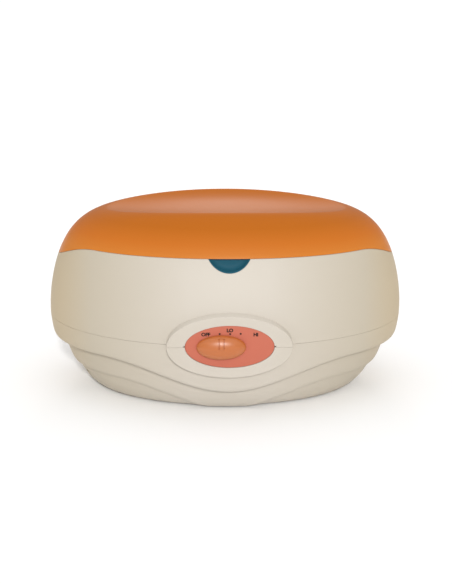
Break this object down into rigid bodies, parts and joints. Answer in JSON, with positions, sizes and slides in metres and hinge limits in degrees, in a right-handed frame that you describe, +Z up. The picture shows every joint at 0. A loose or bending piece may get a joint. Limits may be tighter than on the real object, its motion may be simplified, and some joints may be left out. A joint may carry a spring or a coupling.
{
  "type": "paraffin wax melter",
  "caption": "Oval heated bath for paraffin wax: cream two-part casing with wavy steps, amber lift-off lid, drawn pan and a front slide control.",
  "frame": {"origin": "middle of the footprint, on the surface the feet stand on", "axes": "+X along the length, to the right as seen from the control; -Y to the front; +Z up"},
  "size_m": [0.3796, 0.2549, 0.2025],
  "materials": {
    "amber_plastic": "glossy moulded amber-orange",
    "cream_plastic": "satin cream",
    "teal_plastic": "satin dark teal",
    "coral_plastic": "satin coral",
    "orange_plastic": "glossy amber-orange",
    "nylon": "natural",
    "ivory_plastic": "ivory, satin",
    "black_plastic": "black, fine grain",
    "phenolic": "dark brown-black",
    "spring_steel": "bright",
    "zinc_steel": "zinc plated sheet",
    "plated_steel": "nickel plated",
    "pan_aluminium": "drawn and washed",
    "silicone_rubber": "grey",
    "glass_wool": "pale felt",
    "element_sheath": "dark, heat stained",
    "brass": "bright",
    "brown_wire": "brown insulation",
    "blue_wire": "blue insulation",
    "earth_wire": "green and yellow insulation",
    "black_wire": "black insulation",
    "red_wire": "red insulation",
    "foot_rubber": "black"
  },
  "bodies": {
    "casing": {"upper_shell": "cream_plastic", "lower_shell": "cream_plastic", "finger_insert": "teal_plastic", "dial_plate": "coral_plastic", "slide_switch": "black_plastic", "detent_spring": "spring_steel", "switch_bracket": "zinc_steel", "pan": "pan_aluminium", "pan_gasket": "silicone_rubber", "guard_grille": "ivory_plastic", "insulation_wrap": "glass_wool", "heating_element": "element_sheath", "clamp_bars": "zinc_steel", "clamp_nuts": "plated_steel", "thermostat_low": "phenolic", "thermostat_high": "phenolic", "thermal_fuse": "plated_steel", "fuse_clip": "brass", "support_tray": "zinc_steel", "hold_down_nuts": "plated_steel", "mains_inlet": "black_plastic", "inlet_pins": "brass", "terminal_block": "nylon", "lead_live": "brown_wire", "lead_neutral": "blue_wire", "lead_earth": "earth_wire", "lead_switch": "brown_wire", "lead_low": "black_wire", "lead_high": "red_wire", "lead_link": "black_wire", "lead_element": "black_wire", "lead_fuse": "blue_wire", "lead_return": "blue_wire", "case_screws": "plated_steel", "control_screws": "plated_steel", "inlet_screws": "plated_steel", "block_screws": "plated_steel", "feet": "foot_rubber"},
    "slider": {"slider_knob": "orange_plastic", "slider_carriage": "nylon", "switch_lever": "black_plastic"},
    "lid": {"lid": "amber_plastic"}
  },
  "joints": [
    {"name": "slider_travel", "type": "slide", "parent": "casing", "child": "slider", "axis": [1, 0, 0], "range_m": [0, 0.017]},
    {"name": "lid_lift", "type": "slide", "parent": "casing", "child": "lid", "axis": [0, 0, 1], "range_m": [0, 0.12]}
  ]
}
